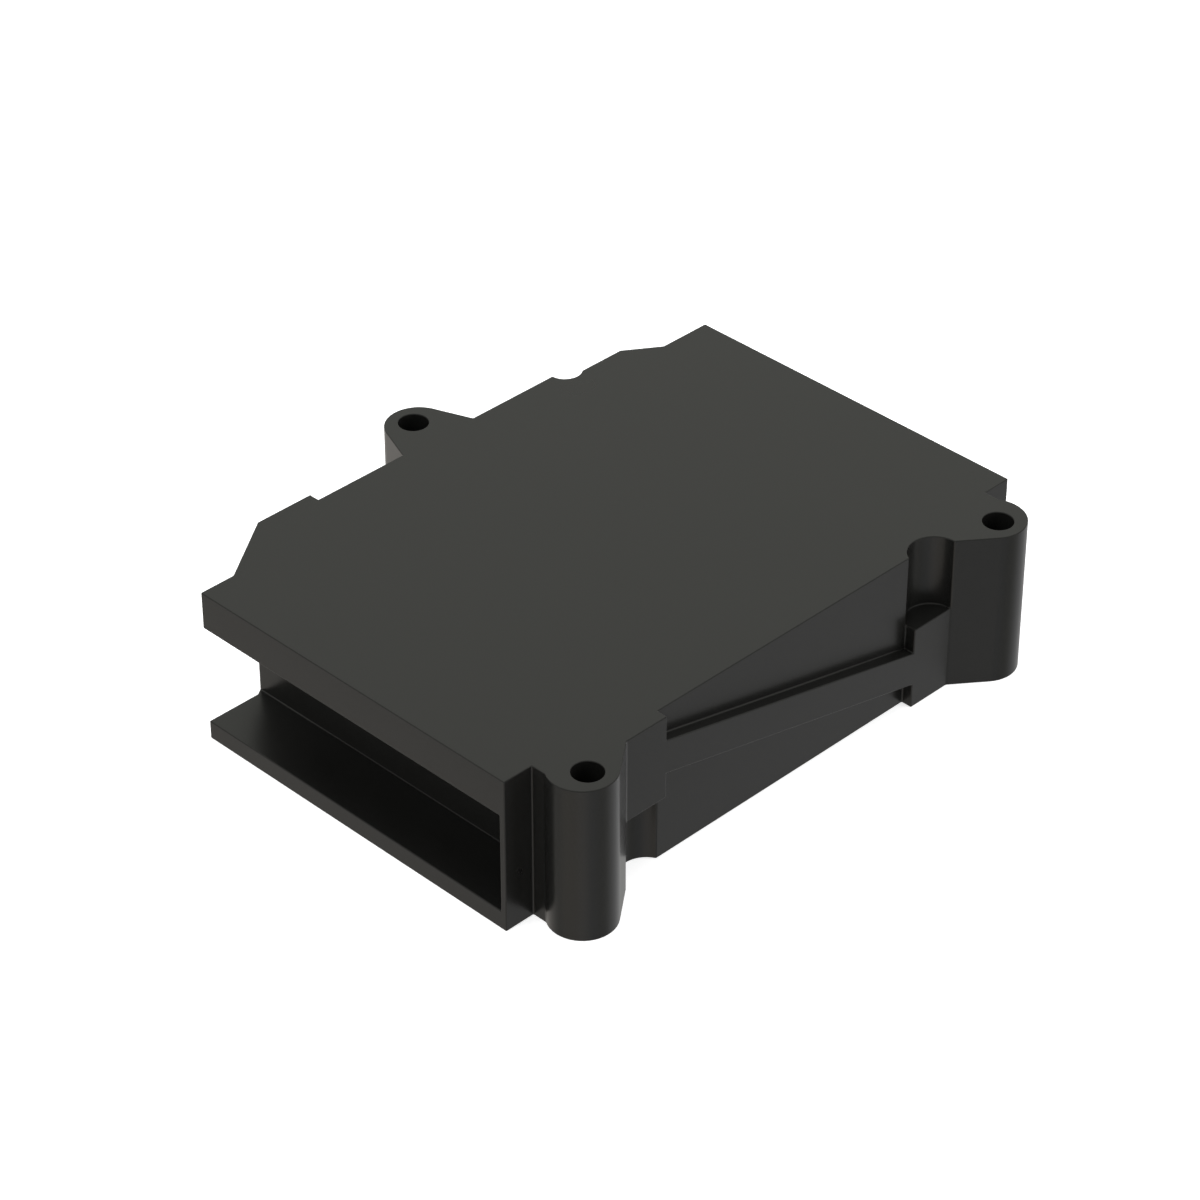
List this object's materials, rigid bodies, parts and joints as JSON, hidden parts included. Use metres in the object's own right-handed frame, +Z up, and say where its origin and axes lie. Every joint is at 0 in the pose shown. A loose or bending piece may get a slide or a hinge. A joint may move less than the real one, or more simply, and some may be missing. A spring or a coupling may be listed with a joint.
{
  "type": "junction box",
  "caption": "Flat black junction box with three through-bolt bosses, open cable troughs across both ends, a screwed cover beneath and a terminal strip inside.",
  "frame": {"origin": "centre of the underside's bounding box, which is also the centre of the fixing holes", "axes": "+Z up out of the plain top face, +X along the long side from the trough under the thick plate to the trough under the thin plate, +Y towards the side with the single boss"},
  "size_m": [0.1, 0.085, 0.025],
  "materials": {
    "housing_plastic": "satin black, fine moulded surface",
    "cover_plastic": "satin black",
    "seal_rubber": "matt black rubber",
    "strip_plastic": "natural polyamide",
    "connector_brass": "plain turned brass",
    "screw_steel": "zinc plated"
  },
  "bodies": {
    "root": {"housing": "housing_plastic", "cover": "cover_plastic", "cover_seal": "seal_rubber", "cover_screws": "screw_steel", "terminal_strip": "strip_plastic", "connector_tube_1": "connector_brass", "connector_tube_2": "connector_brass", "connector_tube_3": "connector_brass", "connector_tube_4": "connector_brass", "connector_tube_5": "connector_brass", "clamping_screws": "screw_steel", "strip_screws": "screw_steel", "grommet_left_1": "seal_rubber", "grommet_left_2": "seal_rubber", "grommet_left_3": "seal_rubber", "grommet_left_4": "seal_rubber", "grommet_right_1": "seal_rubber", "grommet_right_2": "seal_rubber", "grommet_right_3": "seal_rubber", "grommet_right_4": "seal_rubber", "cable_clamp_left": "cover_plastic", "cable_clamp_right": "cover_plastic", "cable_clamp_screws": "screw_steel"}
  },
  "joints": []
}
